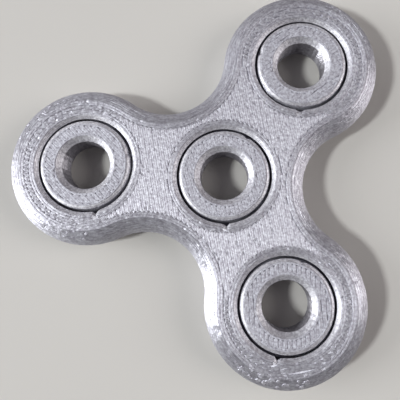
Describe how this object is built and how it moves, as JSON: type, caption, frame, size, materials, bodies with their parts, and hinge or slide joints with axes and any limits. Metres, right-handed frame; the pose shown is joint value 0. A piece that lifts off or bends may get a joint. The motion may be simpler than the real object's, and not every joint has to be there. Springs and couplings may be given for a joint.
{
  "type": "fidget spinner",
  "caption": "Flat tri-lobed finger spinner with rounded edges; captive bored hub rings turn in the frame's centre and in its lobes, pinched at the centre ring to spin.",
  "frame": {"origin": "middle of the centre hub's bore, at mid-thickness", "axes": "+Z along the centre bore, up from the face it lies on; -X towards the first lobe; the other two lobes point 60 degrees either side of +X"},
  "size_m": [0.0688, 0.0748, 0.0072],
  "materials": {
    "frame_plastic": "silver-grey 3-D printed plastic, satin, with fine print lines",
    "hub_plastic": "silver-grey 3-D printed plastic, satin, with fine print lines"
  },
  "bodies": {
    "centre_hub": {"centre_hub": "hub_plastic"},
    "frame": {"spinner_frame": "frame_plastic"},
    "lobe_hub_1": {"lobe_hub_1": "hub_plastic"},
    "lobe_hub_2": {"lobe_hub_2": "hub_plastic"},
    "lobe_hub_3": {"lobe_hub_3": "hub_plastic"}
  },
  "joints": [
    {"name": "frame_spin", "type": "hinge", "parent": "centre_hub", "child": "frame", "pos_m": [0, 0, 0], "axis": [0, 0, 1], "continuous": true},
    {"name": "lobe_hub_1_spin", "type": "hinge", "parent": "frame", "child": "lobe_hub_1", "pos_m": [-0.026, 0, 0], "axis": [0, 0, 1], "continuous": true},
    {"name": "lobe_hub_2_spin", "type": "hinge", "parent": "frame", "child": "lobe_hub_2", "pos_m": [0.013, -0.02252, 0], "axis": [0, 0, 1], "continuous": true},
    {"name": "lobe_hub_3_spin", "type": "hinge", "parent": "frame", "child": "lobe_hub_3", "pos_m": [0.013, 0.02252, 0], "axis": [0, 0, 1], "continuous": true}
  ]
}
